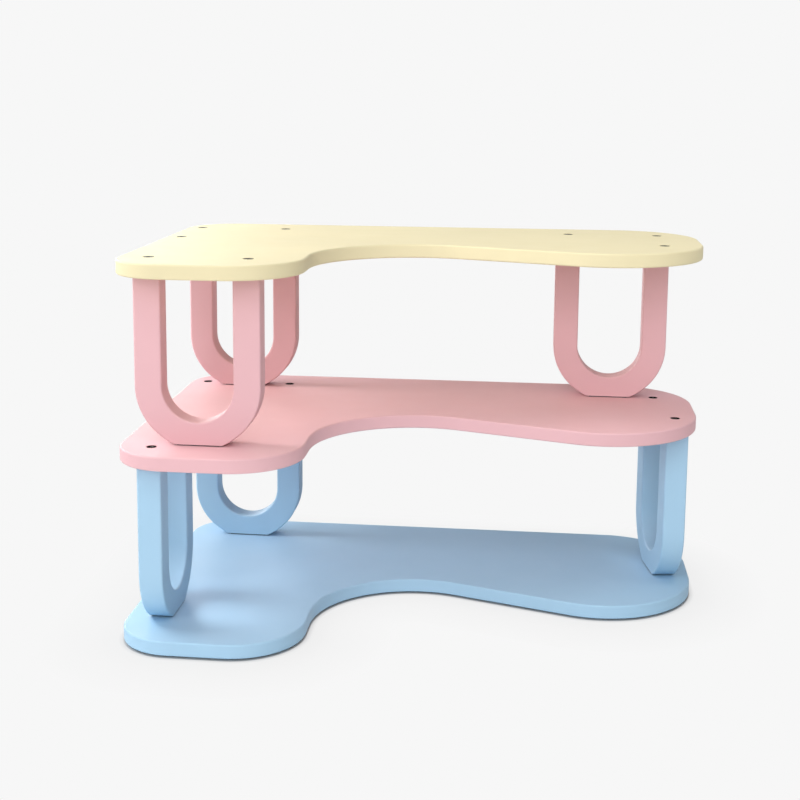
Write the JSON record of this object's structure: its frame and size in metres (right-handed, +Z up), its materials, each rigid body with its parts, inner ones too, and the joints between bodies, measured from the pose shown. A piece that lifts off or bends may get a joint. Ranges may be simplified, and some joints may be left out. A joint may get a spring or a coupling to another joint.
{
  "type": "corner display rack",
  "caption": "Tiered corner display rack: curved L-shaped lacquered boards with eased edges, held apart by screwed-on U-shaped legs.",
  "frame": {"origin": "middle of the rack's footprint box, on the surface that its pads stand on", "axes": "+X right along the straight rear edge of the boards, +Y to the rear, +Z up"},
  "size_m": [0.6, 0.4, 0.3988],
  "materials": {
    "cream_lacquer": "satin",
    "pink_lacquer": "satin",
    "blue_lacquer": "satin",
    "screw_steel": "satin",
    "insert_brass": "satin",
    "pad_rubber": "matte"
  },
  "bodies": {
    "root": {"top_board": "cream_lacquer", "middle_board": "pink_lacquer", "bottom_board": "blue_lacquer", "upper_front_leg": "pink_lacquer", "upper_rear_leg": "pink_lacquer", "upper_right_leg": "pink_lacquer", "lower_front_leg": "blue_lacquer", "lower_rear_leg": "blue_lacquer", "lower_right_leg": "blue_lacquer", "upper_front_stem_a_screw": "screw_steel", "upper_front_stem_b_screw": "screw_steel", "upper_front_foot_screw": "screw_steel", "upper_rear_stem_a_screw": "screw_steel", "upper_rear_stem_b_screw": "screw_steel", "upper_rear_foot_screw": "screw_steel", "upper_right_stem_a_screw": "screw_steel", "upper_right_stem_b_screw": "screw_steel", "upper_right_foot_screw": "screw_steel", "lower_front_stem_a_screw": "screw_steel", "lower_front_stem_b_screw": "screw_steel", "lower_front_foot_screw": "screw_steel", "lower_rear_stem_a_screw": "screw_steel", "lower_rear_stem_b_screw": "screw_steel", "lower_rear_foot_screw": "screw_steel", "lower_right_stem_a_screw": "screw_steel", "lower_right_stem_b_screw": "screw_steel", "lower_right_foot_screw": "screw_steel", "rear_spare_screw": "screw_steel", "right_spare_screw": "screw_steel", "upper_front_stem_a_insert": "insert_brass", "upper_front_stem_b_insert": "insert_brass", "upper_front_foot_insert": "insert_brass", "upper_rear_stem_a_insert": "insert_brass", "upper_rear_stem_b_insert": "insert_brass", "upper_rear_foot_insert": "insert_brass", "upper_right_stem_a_insert": "insert_brass", "upper_right_stem_b_insert": "insert_brass", "upper_right_foot_insert": "insert_brass", "lower_front_stem_a_insert": "insert_brass", "lower_front_stem_b_insert": "insert_brass", "lower_front_foot_insert": "insert_brass", "lower_rear_stem_a_insert": "insert_brass", "lower_rear_stem_b_insert": "insert_brass", "lower_rear_foot_insert": "insert_brass", "lower_right_stem_a_insert": "insert_brass", "lower_right_stem_b_insert": "insert_brass", "lower_right_foot_insert": "insert_brass", "rear_left_pad": "pad_rubber", "front_left_pad": "pad_rubber", "lobe_pad": "pad_rubber", "end_front_pad": "pad_rubber", "end_rear_pad": "pad_rubber"}
  },
  "joints": []
}
